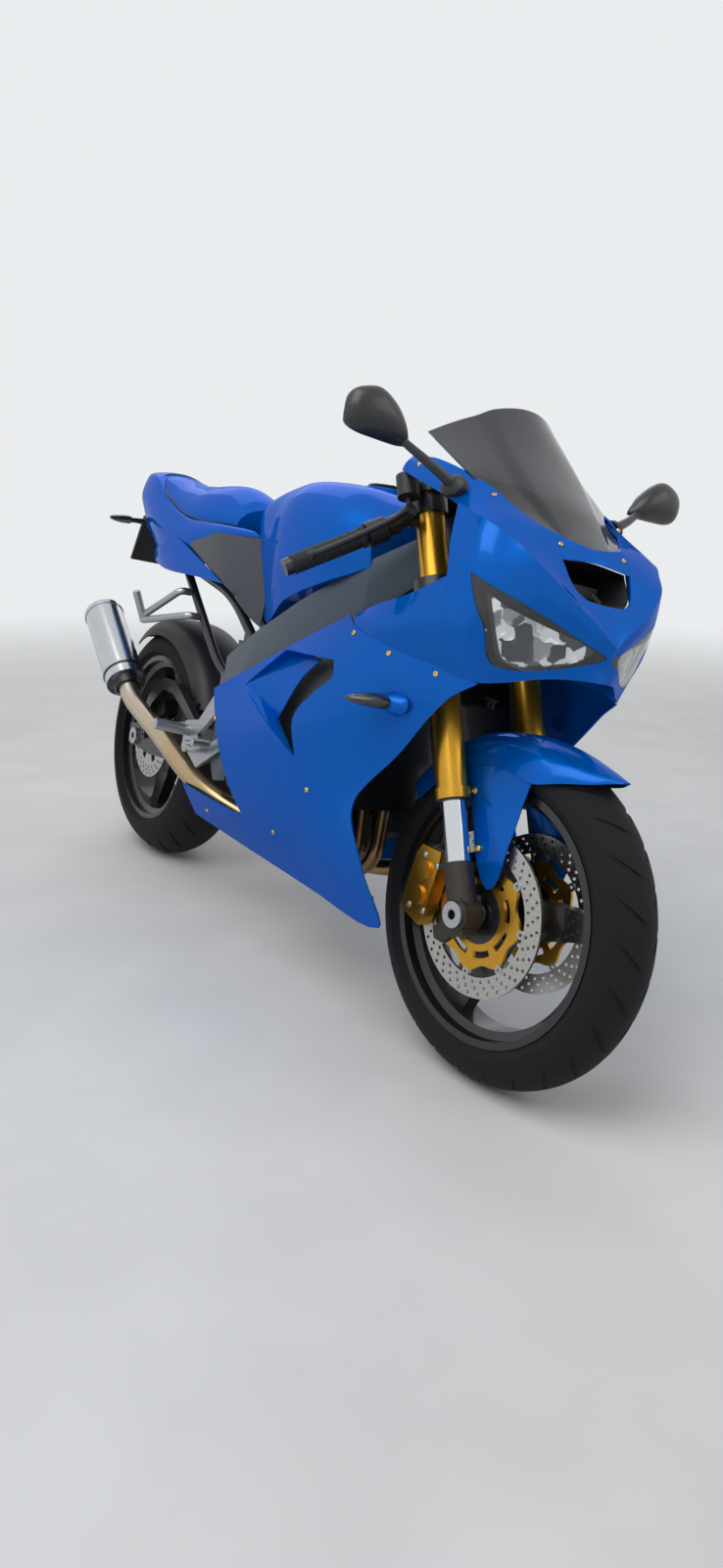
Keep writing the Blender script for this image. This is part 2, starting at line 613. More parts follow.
# Nose fairing: one blue moulding from the screen's edge to the beak, carried by the dash stay,
# creased where its top meets its sides, with the ram-air mouth, an opening for each headlight and
# a wing on each side that tucks under the side panel.
RIDGE = [(1105, 178, 1002), (1200, 188, 975), (1296, 192, 946), (1377, 194, 921), (1416, 168, 899),
         (1452, 142, 871), (1472, 112, 845), (1488, 78, 820), (1499, 42, 797), (1511, 0, 766)]
BROW = [(1108, 174, 1016), (1196, 180, 1000), (1300, 170, 966), (1372, 158, 936), (1408, 122, 912),
        (1434, 98, 886), (1458, 80, 850), (1478, 58, 824), (1494, 32, 800), (1511, 0, 766)]
SCREEN_EDGE = [(1112, 165, 1028), (1190, 166, 1022), (1300, 142, 986), (1362, 112, 948),
               (1407, 70, 924), (1419, 0, 913), (1440, 0, 868), (1472, 0, 828), (1496, 0, 794),
               (1511, 0, 766)]
CHEEKS = [
    [(1312, 206, 890), (1384, 204, 874), (1420, 178, 858), (1446, 150, 842), (1467, 116, 820),
     (1485, 78, 798), (1498, 40, 780), (1507, 0, 758)],
    [(1330, 214, 830), (1390, 206, 814), (1420, 178, 806), (1440, 150, 800), (1461, 109, 786),
     (1481, 64, 771), (1498, 26, 757), (1503, 0, 750)],
    [(1335, 214, 760), (1384, 202, 748), (1406, 174, 742), (1428, 142, 738), (1450, 104, 734),
     (1472, 66, 732), (1490, 32, 733), (1497, 0, 732)],
    [(1322, 186, 684), (1362, 174, 679), (1392, 160, 676), (1418, 124, 685), (1444, 90, 697),
     (1470, 56, 705), (1490, 24, 708), (1498, 0, 708)]]
WING = [[(1070, 195, 746), (1150, 208, 770), (1243, 214, 795), (1330, 214, 830)],
        [(1082, 206, 737), (1160, 218, 742), (1243, 222, 750), (1335, 214, 760)],
        [(1099, 211, 720), (1150, 214, 711), (1219, 209, 697), (1322, 186, 684)]]
LAMP = [(1379, 842), (1438, 811), (1463, 791), (1484, 770), (1501, 753), (1497, 742), (1488, 733),
        (1467, 720), (1426, 705), (1408, 708), (1403, 725), (1404, 765)]
crest = smooth(RIDGE, 6)
top_rows = list(zip(crest, smooth(BROW, 6), smooth(SCREEN_EDGE, 6, sharp=(5,))))
side_rows = list(zip(crest[12:], *[smooth(c, 6) for c in CHEEKS]))
top_grid = [smooth(row, 6) for row in top_rows]
side_grid = [smooth(row, 5) for row in side_rows]
MIDDLE = REST @ Vector((1.25, 0, 0.8))
NOSE_WALL = 3.2


def facing_out(obj, middle):
    """The surface's normals turned away from a point in metres."""
    lean = sum((f.center - middle).dot(f.normal) * f.area for f in obj.data.polygons)
    if lean < 0:
        obj.data.flip_normals()
    return obj


def sided(name, grid, mat, flips=(1, -1), deep=0.0):
    """A surface on one side or both, set in by some millimetres from its own place."""
    verts, faces = [], []
    for flip in flips:
        points, cells = quads([[(x - deep * 0.6, flip * max(y - deep * 0.5, min(y, 1.0)), z)
                                for x, y, z in row] for row in grid])
        faces += [tuple(i + len(verts) for i in cell) for cell in cells]
        verts += points
    return facing_out(piece(name, verts, faces, mat, corner=28), MIDDLE)


nose_top = walled(sided("nose_top", top_grid, blue), NOSE_WALL, even=False)
nose_parts = [nose_top]


def rounded(outline, n=5, sharp=()):
    """A closed outline in the plane drawn as a smooth line with some sharp corners."""
    return [(p.x, p.y) for p in smooth([(x, y, 0) for x, y in outline], n, True, sharp)]


lamp_outline = rounded(LAMP, 5, (0,))


def prism(name, outline, a, b, mat, axis="y", where=REST):
    """An outline carried from a to b: in side view along y, in front view along x."""
    n = len(outline)
    verts = [(p, d, q) if axis == "y" else (d, p, q) for d in (a, b) for p, q in outline]
    faces = [tuple(range(n)), tuple(range(2 * n - 1, n - 1, -1))]
    faces += [(i, (i + 1) % n, n + (i + 1) % n, n + i) for i in range(n)]
    return piece(name, verts, faces, mat, where)


for flip in (1, -1):
    flank = walled(sided("flank", side_grid, blue, (flip,)), NOSE_WALL, even=False)
    nose_parts.append(cut(flank, prism("lamp_hole", lamp_outline, flip * 6, flip * 300, blue)))
    nose_parts.append(walled(sided("wing", skin(WING, 6, 6), blue, (flip,)), NOSE_WALL, even=False))
MOUTH = rounded([(-78, 886), (0, 892), (78, 886), (66, 848), (47, 832), (0, 828), (-47, 832), (-66, 848)],
                5, (0, 2))
cut(nose_top, prism("mouth_hole", MOUTH, 1380, 1640, blue, "x"))
nose = joined("nose_shell", nose_parts)
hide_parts("nose_fairing")
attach(nose, "chassis")

# Ram-air duct behind the mouth: a black moulded funnel, pushed onto the mouth's inner edge, that
# narrows and drops towards the steering head, where a screen closes it.
MOUTH_Z, MOUTH_RAKE, DUCT_DROP, DUCT_WALL = 862, 0.8, 0.14, 2.0
DUCT = [(1440, 0.99), (1412, 0.93), (1375, 0.84), (1330, 0.72)]
duct_rows = [[(x + (MOUTH_Z - z) * MOUTH_RAKE, y * size,
               MOUTH_Z + (z - MOUTH_Z) * size - (DUCT[0][0] - x) * DUCT_DROP) for y, z in MOUTH]
             for x, size in DUCT]
funnel = walled(piece("air_duct", *quads(duct_rows, closed=True), black_plastic), DUCT_WALL, 0.0)
duct_end = piece("duct_screen", duct_rows[-1], [tuple(range(len(MOUTH)))], black_plastic)
duct = joined("ram_air_duct", [funnel, walled(duct_end, DUCT_WALL, 0.0)])
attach(duct, "chassis")

# Headlights: a clear moulded lens flush in the nose, over a bright faceted reflector in a black
# housing, with a black inner bezel that is broad along its upper edge.
# Polycarbonate: clear, with a hard bright reflection and a trace of haze from wear.
lens_glass, tree, shader = finish_of("clear_polycarbonate", "#ffffff", 0.0, 0.02, Transmission_Weight=1.0,
                                     IOR=1.52, Alpha=1.0)
vary(tree, shader, grain(tree, shader, 0.02, 0.00003), 0.0, 0.04)
# Vacuum chrome: a mirror broken into facets 26 mm wide, each lighter or darker than the next.
chrome, tree, shader = finish_of("vacuum_chromed_reflector", "#a4a9ae", 1.0, 0.08)
flutes = embossed(tree, shader, "ShaderNodeTexVoronoi", {"Scale": 38.0}, "Distance", 0.7, 0.006,
                  distance="CHEBYCHEV")
vary(tree, shader, flutes.outputs["Color"], 0.04, 0.14, ("#3b4046", "#e2e5e8"))
BEZEL_DEEP, BEZEL_WALL = 3.6, 7.0
INNER_LAMP = [(1405, 815), (1429, 797), (1464, 776), (1491, 760), (1492, 748), (1475, 730),
              (1448, 714), (1427, 709), (1413, 718), (1410, 744), (1409, 777)]
lamp_parts = []


def shrunk(outline, share, sharp):
    """An outline drawn in towards its middle."""
    mx = sum(x for x, z in outline) / len(outline)
    mz = sum(z for x, z in outline) / len(outline)
    return rounded([(mx + (x - mx) * share, mz + (z - mz) * share) for x, z in outline], 5, sharp)


for flip in (1, -1):
    for name, outline, deep, thick, mat in (
            ("lens", shrunk(LAMP, 0.985, (0,)), 0.6, 2.6, lens_glass),
            ("bowl", shrunk(INNER_LAMP, 1.06, (0,)), 12.0, 3.0, chrome),
            ("housing", shrunk(INNER_LAMP, 1.1, (0,)), 16.0, 3.0, black_plastic)):
        sheet = walled(sided(name, side_grid, mat, (flip,), deep), thick, even=False)
        cut(sheet, prism("trim", outline, flip * 8, flip * 300, mat), "INTERSECT")
        lamp_parts.append(sheet)
    bezel = walled(sided("bezel", side_grid, black_plastic, (flip,), BEZEL_DEEP), BEZEL_WALL, even=False)
    cut(bezel, prism("rim", shrunk(LAMP, 0.98, (0,)), flip * 8, flip * 300, black_plastic),
        "INTERSECT")
    cut(bezel, prism("well", shrunk(INNER_LAMP, 1.0, (0,)), flip * 6, flip * 310, black_plastic))
    lamp_parts.append(bezel)
lamps = joined("headlight_units", lamp_parts)
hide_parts("headlights")
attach(lamps, "chassis")

# Windscreen: a sheet drawn over a mould, with a raised middle, held at its edges by gold screws.
# Smoked acrylic: dark and clear, with a sharp sky reflection and a faint waviness.
smoke, tree, shader = finish_of("smoked_acrylic", "#33363b", 0.0, 0.04, Transmission_Weight=0.82,
                                IOR=1.49, Coat_Weight=0.4)
vary(tree, shader, grain(tree, shader, 0.06, 0.00004, 1.0), 0.02, 0.07)
# From the foot up: x, z, half width, and how far the edge lies back and down.
SCREEN = [(1424, 913, 96, 36, -24), (1340, 990, 141, 30, 12), (1268, 1060, 158, 10, 48),
          (1202, 1140, 150, 76, 62)]
BULGE, BULGE_SHARE, BULGE_EDGE, SCREEN_INSET = 7.0, 0.62, 0.16, 5
grid = []


def glide(knots, values, t):
    """The value at t on a smooth run through knots, whose values may be tuples."""
    i = max(0, min(len(knots) - 2, sum(1 for k in knots[1:-1] if k <= t)))
    a, b = knots[i], knots[i + 1]
    f = (max(min(t, knots[-1]), knots[0]) - a) / (b - a)
    out = []
    for v in zip(*values):
        slope = (v[i + 1] - v[i]) / (b - a)
        before = slope if i == 0 else (v[i + 1] - v[i - 1]) / (b - knots[i - 1])
        after = slope if i + 2 == len(knots) else (v[i + 2] - v[i]) / (knots[i + 2] - a)
        h = b - a
        out.append((2 * f**3 - 3 * f**2 + 1) * v[i] + (f**3 - 2 * f**2 + f) * h * before
                   + (3 * f**2 - 2 * f**3) * v[i + 1] + (f**3 - f**2) * h * after)
    return out


for k in range(31):
    x, z, half, back, down = glide([0, 10, 20, 30], SCREEN, k)
    row = []
    for i in range(-24, 25):
        f = i / 24
        t = max(0.0, min(1.0, (BULGE_SHARE - abs(f)) / BULGE_EDGE))
        rise = BULGE * t * t * (3 - 2 * t) * min(1.0, k / 8)
        row.append((x - back * f * f + 0.68 * rise - SCREEN_INSET, half * f,
                    z - down * f * f + 0.73 * rise - SCREEN_INSET))
    grid.append(row)
screen = walled(facing_out(piece("screen_shell", *quads(grid), smoke, corner=60), MIDDLE), 3.0)
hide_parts("windscreen")
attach(screen, "chassis")

# Side fairings: two thin blue mouldings that reach from the spar to the belly, bolted to the nose
# along a fine seam, each with a vent whose rear part dips in. The left one is cut for the stand.
# At places along, from the top down: pairs of a height and the half width there.
SIDE = [
    (400, 700, 172, 520, 192, 400, 192, 300, 176, 205, 132),
    (700, 700, 170, 540, 212, 400, 214, 300, 196, 205, 140),
    (1000, 790, 170, 620, 236, 450, 228, 320, 198, 205, 146),
    (1130, 830, 180, 640, 230, 440, 206, 320, 196, 200, 152),
    (1260, 840, 180, 650, 206, 520, 180, 330, 192, 200, 158),
    (1400, 870, 165, 680, 160, 520, 152, 350, 168, 190, 145)]
SIDE_OUTLINE = [(576, 531), (800, 631), (1058, 744), (1098, 725), (1219, 702), (1322, 688), (1392, 674),
                (1346, 641), (1246, 522), (1174, 438), (1170, 396), (1222, 320), (1264, 224), (1002, 212),
                (455, 216), (426, 282), (777, 295), (661, 413)]
VENT = [(729, 563), (864, 654), (1078, 660), (1088, 632), (1038, 591), (984, 535), (1001, 466)]
SIDE_EDGE = rounded(SIDE_OUTLINE, 6, (0, 2, 6, 13, 14, 15, 16))
LEFT_EDGE = rounded(SIDE_OUTLINE[:14] + [(650, 215), (650, 290)] + SIDE_OUTLINE[16:], 6,
                    (0, 2, 6, 13, 14, 15, 16))
VENT_EDGE = rounded(VENT, 6, (0, 1, 2, 6))
DIP = [
    [(729, 563, 0), (796, 608, 1), (864, 653, 1), (975, 657, 1)],
    [(729, 563, 1), (796, 607, 14), (866, 651, 26), (975, 650, 34)],
    [(729, 563, 1), (794, 580, 14), (860, 600, 26), (922, 603, 34)],
    [(729, 563, 1), (780, 552, 14), (826, 535, 24), (866, 516, 32)],
    [(729, 563, 0), (800, 534, 0.5), (880, 506, 0.5), (998, 467, 0.5)]]


def side_y(x, z):
    """Half width of the side panels at a place along and a height."""
    row = glide([r[0] for r in SIDE], [r[1:] for r in SIDE], x)
    heights, widths = row[::2][::-1], [(w,) for w in row[1::2][::-1]]
    return glide(heights, widths, z)[0]


def inside(loop, x, y):
    """Whether a point lies in a closed outline."""
    hit = False
    for (xa, ya), (xb, yb) in zip(loop, loop[1:] + loop[:1]):
        if (ya > y) != (yb > y) and x < (xb - xa) * (y - ya) / (yb - ya) + xa:
            hit = not hit
    return hit


def filled(outline, holes=(), step=14.0):
    """Points and triangles that fill an outline less its holes, evenly inside."""
    points, edges = [], []
    for loop in [outline] + list(holes):
        first, n = len(points), len(loop)
        points += [Vector(p) for p in loop]
        edges += [(first + i, first + (i + 1) % n) for i in range(n)]
    rim = list(points)
    low = [min(p[i] for p in outline) for i in (0, 1)]
    high = [max(p[i] for p in outline) for i in (0, 1)]
    for i in range(int((high[0] - low[0]) / step) + 1):
        for j in range(int((high[1] - low[1]) / step) + 1):
            p = Vector((low[0] + (i + 0.5 * (j % 2)) * step, low[1] + j * step))
            if inside(outline, *p) and not any(inside(h, *p) for h in holes):
                if all((p - q).length > 0.55 * step for q in rim):
                    points.append(p)
    out = geometry.delaunay_2d_cdt(points, edges, [], 0, 1e-5)
    middle = [sum((out[0][i] for i in face), Vector((0, 0))) / len(face) for face in out[2]]
    faces = [face for face, m in zip(out[2], middle)
             if inside(outline, *m) and not any(inside(h, *m) for h in holes)]
    return out[0], faces


def panel(name, outline, mat, surface, holes=()):
    """A thin moulding drawn in side view, whose points lie on surface(x, z), walled inwards."""
    points, faces = filled(outline, holes)
    obj = piece(name, [(x, surface(x, z), z) for x, z in points], faces, mat)
    return walled(facing_out(obj, MIDDLE), 3.0)


for side, edge in ((-1, SIDE_EDGE), (1, LEFT_EDGE)):
    skin_part = panel("skin", edge, blue, lambda x, z: side * side_y(x, z), [VENT_EDGE])
    runs = [smooth([(x, side * (side_y(x, z) - d), z) for x, z, d in line], 6) for line in DIP]
    rows = [smooth(row, 4, sharp=(1, 3)) for row in zip(*runs)]
    dip = walled(piece("dip", *quads(rows), blue), 2.5, 0.0)
    name = "side_fairing_left" if side > 0 else "side_fairing_right"
    fairing = joined(name + "_shell", [skin_part, dip])
    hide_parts(name)
    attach(fairing, "chassis")

# Inner panels: black moulded sheets, clipped to the fairings' inner side, that close the view
# behind each vent and above the radiator.
WELL_DEEP = 52
WELL = rounded([(800, 560), (890, 668), (1110, 676), (1130, 600), (1060, 430), (930, 430)], 5)
inner_panels = [panel("well", WELL, black_plastic,
                      lambda x, z, side=side: side * (side_y(x, z) - WELL_DEEP)) for side in (-1, 1)]
baffle_rows = [[(1112 - 0.2 * abs(y) - 0.0006 * y * y, y, z) for y in range(-172, 173, 43)]
               for z in (590, 625, 660, 695)]
inner_panels.append(walled(piece("baffle", *quads(baffle_rows), black_plastic), 2.5, 0.0))
inner = joined("inner_panels", inner_panels)
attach(inner, "chassis")

# Fairing screws: button heads with a hexagon socket, at the screen's edges, along the seam below
# the nose and in the side panels. Bright gold anodising makes each one a small warm point.
screw_gold, tree, shader = finish_of("bright_gold_anodised_screw", "#e4c468", 0.9, 0.28)
vary(tree, shader, grain(tree, shader, 0.0009, 0.00002), 0.22, 0.34, ("#ddb955", "#ecd07c"))
NOSE_SCREWS = [(1154, 175, 1013), (1321, 148, 971), (1421, 74, 914)]
SIDE_SCREWS = [(1105, 713), (1214, 692), (1318, 676), (1046, 415), (908, 296), (620, 470), (560, 250)]
NOSE_HEAD, SIDE_HEAD = 0.0085, 0.0095
heads = []
for flip in (1, -1):
    for spot in NOSE_SCREWS:
        x, y, z = min((p for row in top_grid for p in row), key=lambda p: (p - Vector(spot)).length)
        out = (0.35, flip * 0.45, 0.82) if spot[0] < 1400 else (0.6, flip * 0.2, 0.77)
        heads.append((REST @ (Vector((x, flip * y, z)) / 1000), normal_of(REST, out), NOSE_HEAD))
    for x, z in SIDE_SCREWS:
        if flip > 0 and x < 650 and z < 330:
            continue
        out = (side_y(x - 5, z) - side_y(x + 5, z), flip * 10, side_y(x, z - 5) - side_y(x, z + 5))
        heads.append((REST @ (Vector((x, flip * side_y(x, z), z)) / 1000), normal_of(REST, out), SIDE_HEAD))
fairing_screws = strewn("fairing_screws", socket_screw, heads, screw_gold)
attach(fairing_screws, "chassis")

# Turn signals: moulded lens cones, the front ones screwed to blue blisters on the side panels, the
# rear ones on black stalks beside the number plate.
# Smoked polycarbonate: nearly black, with inner ribs that break up its bright reflection.
smoked_lens, tree, shader = finish_of("smoked_lamp_lens", "#1b1a1c", 0.0, 0.12, Coat_Weight=0.6)
ribs = embossed(tree, shader, "ShaderNodeTexWave", {"Scale": 160.0}, "Fac", 0.3, 0.0006,
                bands_direction="Z")
vary(tree, shader, ribs.outputs["Fac"], 0.08, 0.2)
SIGNAL_X, SIGNAL_Z = 1234, 613
BLISTER = [(8, -6, 0, 38, 22), (7, 4, 0, 33, 18), (5, 11, 0, 24, 14), (4, 15, 0, 18, 12)]
FRONT_LENS = [(2, 12, 0, 22, 13), (0, 22, 0, 25, 13.5), (-6, 40, -1, 23, 11.5), (-14, 58, -2, 17, 8.5),
              (-21, 70, -3, 9, 4.5), (-24, 74, -3.5, 2, 1)]
STALK = [(-344, 52, 893, 9, 9), (-336, 66, 893, 8, 8), (-312, 104, 890, 6.5, 6.5)]
REAR_LENS = [(-314, 100, 890, 7, 8), (-306, 114, 889, 14, 12), (-292, 140, 887, 16, 12),
             (-274, 166, 885, 13, 9), (-264, 182, 884, 7, 5), (-262, 186, 884, 1, 1)]
signals = []


def pods(name, line, mat):
    """A rounded body, flatter behind, through (centre, half length, half height) sections along y."""
    rings = []
    for x, y, z, a, b in line:
        rings.append([(x + a * math.cos(t), y, z + b * math.sin(t) * (0.8 if math.cos(t) < 0 else 1))
                      for t in (math.tau * i / 28 for i in range(28))])
    return piece(name, *quads(rings, closed=True, ends=True), mat, corner=40)


for flip in (1, -1):
    for name, line, mat, front in (("blister", BLISTER, blue, True),
                                   ("lens", FRONT_LENS, smoked_lens, True),
                                   ("root", STALK, black_plastic, False),
                                   ("rear_lens", REAR_LENS, smoked_lens, False)):
        x0, y0, z0 = (SIGNAL_X, side_y(SIGNAL_X, SIGNAL_Z), SIGNAL_Z) if front else (0, 0, 0)
        signals.append(pods(name, [(x0 + x, flip * (y0 + y), z0 + z, a, b) for x, y, z, a, b in line], mat))
lamp_set = joined("turn_signals", signals)
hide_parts("signal_lamps")
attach(lamp_set, "chassis")

# Mirrors: moulded shells on thin arms, bolted through an oval pad to the nose, each with a
# glass set in behind.
# Silvered glass: a clean mirror. Shell: black satin moulding whose grain gives a soft highlight.
mirror_glass, tree, shader = finish_of("silvered_glass", "#d8dde2", 1.0, 0.02)
vary(tree, shader, grain(tree, shader, 0.05, 0.00001), 0.01, 0.04)
mirror_shell, tree, shader = finish_of("black_mirror_shell", "#1a1c1f", 0.0, 0.36, Coat_Weight=0.2)
vary(tree, shader, grain(tree, shader, 0.0015, 0.00003), 0.3, 0.44, ("#17191c", "#202327"))
# The shell outwards: y, x, z, half length and half height.
HEAD = [(262, 1226, 1021, 4, 4), (270, 1228, 1027, 12, 11), (284, 1230, 1036, 20, 22),
        (305, 1231, 1046, 24, 32), (332, 1231, 1053, 25, 38), (356, 1230, 1052, 24, 35.5),
        (374, 1228, 1050, 20, 29), (382, 1226, 1047, 12, 19), (385, 1225, 1046, 3, 6)]
BACK = 0.42
ARM = [(1266, 192, 978), (1263, 208, 986), (1254, 240, 1002), (1240, 272, 1020), (1234, 290, 1031)]
PAD = [(-6, 0.1), (-6, 27), (3, 26), (7, 21), (9, 12), (9, 0.1)]
mirror_parts = []
for flip in (1, -1):
    rings, glass = [], []
    for y, x, z, a, b in [glide(list(range(len(HEAD))), HEAD, k / 4) for k in range(4 * len(HEAD) - 3)]:
        rings.append([(x + a * max(math.cos(t), -BACK), flip * y, z + b * math.sin(t))
                      for t in (math.tau * i / 36 for i in range(36))])
        glass.append([(x - BACK * a - 0.6, flip * y, z + 0.9 * b * f / 6) for f in range(-6, 7)])
    mirror_parts.append(piece("shell", *quads(rings, closed=True, ends=True), mirror_shell, corner=50))
    mirror_parts.append(walled(piece("glass", *quads(glass[5:-4]), mirror_glass), 0.8, 0.0))
    arm = smooth([(x, flip * y, z) for x, y, z in ARM], 6)
    mirror_parts.append(tubular(arm, [9.5 - 0.16 * i for i in range(len(arm))], mirror_shell))
    lie = Vector((0.1, flip * 1.0, 0.36)).to_track_quat("Y", "Z").to_matrix().to_4x4()
    mirror_parts.append(turned("pad", PAD, black_plastic,
                               REST @ Matrix.Translation((1.268, flip * 0.187, 0.974)) @ lie
                               @ Matrix.Diagonal((1.0, 1.0, 0.72, 1.0))))
mirror_set = joined("mirror_heads", mirror_parts)
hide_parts("mirrors")
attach(mirror_set, "chassis")

# Dash and stay: a black moulded binnacle with a liquid crystal panel and a round rev counter, on a
# pressed stay that also carries the nose. Its faces are blank.
# Printed dial: matt black ink. Liquid crystal panel: grey-green under a glossy film.
dress(black_plastic, "instrument_cluster", "plate_bracket")
dial_face, tree, shader = finish_of("printed_dial_face", "#0c0d0e", 0.0, 0.25)
where = add(tree, "ShaderNodeTexCoord").outputs["Object"]
ink = add(tree, "ShaderNodeTexNoise", {"Vector": where, "Scale": 900.0})
vary(tree, shader, ink.outputs[0], 0.18, 0.34, ("#0a0b0c", "#121314"))
lcd, tree, shader = finish_of("liquid_crystal_panel", "#7d8a78", 0.0, 0.2, Coat_Weight=0.5)
vary(tree, shader, grain(tree, shader, 0.0012, 0.00001), 0.12, 0.26, ("#768370", "#86937f"))
DASH = REST @ Matrix.Translation((1.2, 0, 0.988)) @ Matrix.Rotation(math.radians(-83), 4, "Y")
DIAL = [(0, 0.1), (0, 43), (2.5, 44), (5, 42), (5, 40), (3, 39), (3, 0.1)]
dial = turned("rev_counter", DIAL, dial_face,
              DASH @ Matrix.Translation((0, -0.03, 0)) @ Matrix.Rotation(math.radians(90), 4, "Z"))
display = slab("speed_display", (-20, 22, -2), (18, 84, 2.5), lcd,
               DASH @ Matrix.Rotation(math.radians(90), 4, "Y"), 1.5)
dash_parts = joined("dash_faces", [dial, display])
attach(dash_parts, "chassis")

# Front mudguard: a thin blue moulding, a hoop close over the tyre that is drawn out to a point
# ahead, with blades that run down beside the fork legs and are held by two screws each.
# The bars are parked a little to the left, about the raked steering axis through STEM_FOOT.
RAKE, BARS_LEFT, STEM_FOOT = math.radians(24.5), math.radians(3), Vector((1.49, 0, 0))
STEM = Vector((-math.sin(RAKE), 0, math.cos(RAKE)))
STEERED = (REST @ Matrix.Translation(STEM_FOOT) @ Matrix.Rotation(BARS_LEFT, 4, STEM)
           @ Matrix.Translation(-STEM_FOOT))
FRONT_HUB = STEERED @ Matrix.Translation((1.395, 0, 0.294))
FORK = FRONT_HUB @ Matrix.Rotation(-RAKE, 4, "Y")
# At angles round the wheel: pairs of a half width and a radius.
GUARD = [
    (145, (66, 254), (62, 272), (55, 291), (38, 305), (18, 311), (0, 312)),
    (120, (68, 252), (63, 273), (56, 292), (39, 306), (18, 313), (0, 314)),
    (98, (70, 250), (64, 273), (57, 290), (40, 303), (19, 309.5), (0, 310.5)),
    (84, (74, 244), (67, 272), (58, 290), (41, 302), (19, 308.5), (0, 309.5)),
    (76, (72, 246), (64, 273), (55, 290), (39, 303), (19, 310), (0, 311.5)),
    (68, (59, 270), (55, 284), (48, 297), (35, 307), (17, 313.5), (0, 315)),
    (61, (40, 298), (37, 304), (32, 311), (24, 317), (12, 321), (0, 322.5)),
    (56.5, (10, 327), (9, 328), (7.5, 329), (6, 329.6), (3, 330.2), (0, 330.5))]
BLADE = [(-4, 268), (92, 272), (146, 196), (122, 158), (98, 112), (74, 66), (52, 40), (36, 38), (20, 66),
         (13, 100), (10, 170), (2, 230)]
BLADE_TOP, BLADE_FLARE, GUARD_WALL = 268, 0.075, 2.6


def hooped(name, table, mat, hub):
    """A wall carried round a wheel: sections of (half width, radius) at angles in side view."""
    rows = []
    for k in range(6 * len(table) - 5):
        flat = [(row[0],) + tuple(v for pair in row[1:] for v in pair) for row in table]
        angle, *values = glide(list(range(len(table))), flat, k / 6)
        half = [(values[i], values[i + 1]) for i in range(0, len(values), 2)]
        a = math.radians(angle)
        line = [(r * math.cos(a), -y, r * math.sin(a)) for y, r in half]
        rows.append(smooth(line + [(x, -y, z) for x, y, z in line[-2::-1]], 4))
    return walled(facing_out(piece(name, *quads(rows), mat, hub), hub.translation), GUARD_WALL)


guard_parts = [hooped("hoop", GUARD, blue, FRONT_HUB)]
for flip in (1, -1):
    points, faces = filled(rounded(BLADE, 5, (0, 1, 2)), step=12)
    verts = []
    for n, s in points:
        drop = max(0.0, BLADE_TOP - s)
        fold = 7.0 * math.exp(-((n - 20 - 0.341 * drop) / 26.0) ** 2) * min(1.0, drop / 60)
        verts.append((n, flip * (64 + BLADE_FLARE * drop + 0.6 * fold), s))
    blade = facing_out(piece("blade", verts, faces, blue, FORK), FORK @ Vector((0.03, 0, 0.15)))
    guard_parts.append(walled(blade, GUARD_WALL))
guard = joined("front_mudguard_shell", guard_parts)
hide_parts("front_mudguard")
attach(guard, "steering")
guard_screws = strewn("mudguard_screws", socket_screw, [
    (FORK @ Vector((n / 1000, flip * (67 + BLADE_FLARE * (BLADE_TOP - s)) / 1000, s / 1000)),
     normal_of(FORK, (0, flip, 0.08)), 0.012)
    for flip in (1, -1) for n, s in ((24, 107), (20, 206))], screw_gold)
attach(guard_screws, "steering")

# Rear hugger: a black moulded guard close over the rear tyre, screwed to the swingarm by a lug on
# its right side. The grain of its mould keeps it as dull as the seat cowl's plastic.
REAR_AXLE_Z = 315
REAR_HUB = REST @ Matrix.Translation((0, 0, REAR_AXLE_Z / 1000))
HUGGER = [
    (24, (90, 284), (84, 304), (70, 319), (48, 327), (24, 330), (0, 331)),
    (50, (92, 278), (87, 300), (73, 318), (50, 327), (25, 330), (0, 331)),
    (76, (93, 276), (88, 300), (74, 318), (50, 327), (25, 330), (0, 331)),
    (102, (91, 280), (86, 302), (72, 319), (49, 328), (25, 331), (0, 332)),
    (128, (80, 296), (75, 309), (62, 322), (42, 329), (21, 332), (0, 333))]
arch = hooped("rear_hugger_shell", HUGGER, black_plastic, REAR_HUB)
lug = slab("lug", (250, -98, 440), (275, -80, 456), black_plastic, edge=2)
hugger = joined("rear_hugger_shell", [arch, lug])
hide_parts("rear_hugger")
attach(hugger, "chassis")

# Tyres: moulded rubber on the rims, with a rounded crown and curved grooves cut slantwise from
# near the centre to the shoulders, staggered left to right.
# Rubber: almost black and matt, with a fine grain that keeps it from shining.
rubber, tree, shader = finish_of("tyre_rubber", "#101113", 0.0, 0.8, Specular_IOR_Level=0.3)
vary(tree, shader, grain(tree, shader, 0.004, 0.00012, 8.0), 0.7, 0.9, ("#0d0d0f", "#17181a"))
GROOVE_DEEP = 3.2
# Radius, crown radius, bead radius, half width and number of grooves to a side.
TYRES = {"front_tyre": ((293.9, 60, 216, 51.5, 26), FRONT_HUB, "front_wheel"),
         "rear_tyre": ((315, 90, 216, 77, 24), REAR_HUB, "rear_wheel")}


